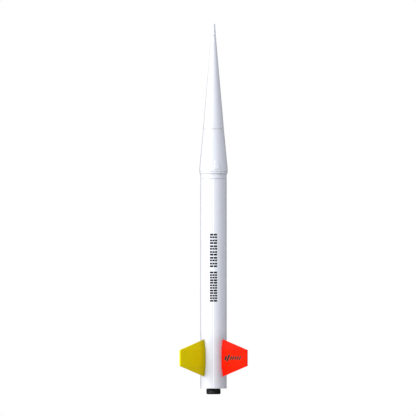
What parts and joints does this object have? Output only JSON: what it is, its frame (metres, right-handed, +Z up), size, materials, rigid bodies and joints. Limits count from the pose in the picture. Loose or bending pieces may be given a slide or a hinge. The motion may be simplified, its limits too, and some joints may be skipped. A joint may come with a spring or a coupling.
{
  "type": "model rocket",
  "caption": "Mid-power model rocket with a long conical nose, card body tube, clipped swept fins, launch lugs, recovery bay and a screw-on motor retainer.",
  "frame": {"origin": "middle of the retainer cap's lower face, on the rocket's axis", "axes": "+Z up the rocket's axis to the nose tip, -Y to the front, +X to the right seen from the front"},
  "size_m": [0.199, 0.199, 1.0804],
  "materials": {
    "white_paint": "gloss white paint over sealed spiral-wound card",
    "white_plastic": "gloss white painted moulded plastic",
    "yellow_plastic": "semi-gloss yellow",
    "red_plastic": "semi-gloss orange-red",
    "black_anodised": "black anodised",
    "kraft_card": "spiral-wound kraft card",
    "plywood": "sanded birch plywood",
    "zinc_steel": "bright zinc plate",
    "orange_nylon": "ripstop nylon"
  },
  "bodies": {
    "airframe": {"body_tube": "white_paint", "motor_mount_tube": "kraft_card", "motor_thrust_ring": "kraft_card", "centering_ring_aft": "plywood", "centering_ring_middle": "plywood", "centering_ring_forward": "plywood", "retainer_body": "black_anodised", "fin_front_right_shell_1": "red_plastic", "fin_front_right_shell_2": "red_plastic", "fin_back_right_shell_1": "yellow_plastic", "fin_back_right_shell_2": "yellow_plastic", "fin_back_left_shell_1": "red_plastic", "fin_back_left_shell_2": "red_plastic", "fin_front_left_shell_1": "yellow_plastic", "fin_front_left_shell_2": "yellow_plastic", "launch_lug_aft": "white_paint", "launch_lug_forward": "white_paint", "anchor_eye_bolt": "zinc_steel", "anchor_nut": "zinc_steel", "parachute_pack": "orange_nylon"},
    "nose": {"nose_shoulder": "white_plastic", "nose_cone_aft": "white_plastic", "nose_cone_forward": "white_plastic", "nose_tip": "white_plastic", "nose_fairing": "white_plastic", "nose_bulkhead": "plywood", "nose_eye_bolt": "zinc_steel", "nose_washer": "zinc_steel", "nose_nut": "zinc_steel"},
    "retainer": {"retainer_cap": "black_anodised"}
  },
  "joints": [
    {"name": "nose_pull", "type": "slide", "parent": "airframe", "child": "nose", "axis": [0, 0, 1], "range_m": [0, 0.1]},
    {"name": "cap_unscrew", "type": "hinge", "parent": "airframe", "child": "retainer", "pos_m": [0, 0, 0.0073], "axis": [0, 0, -1], "range_deg": [0, 720]}
  ]
}
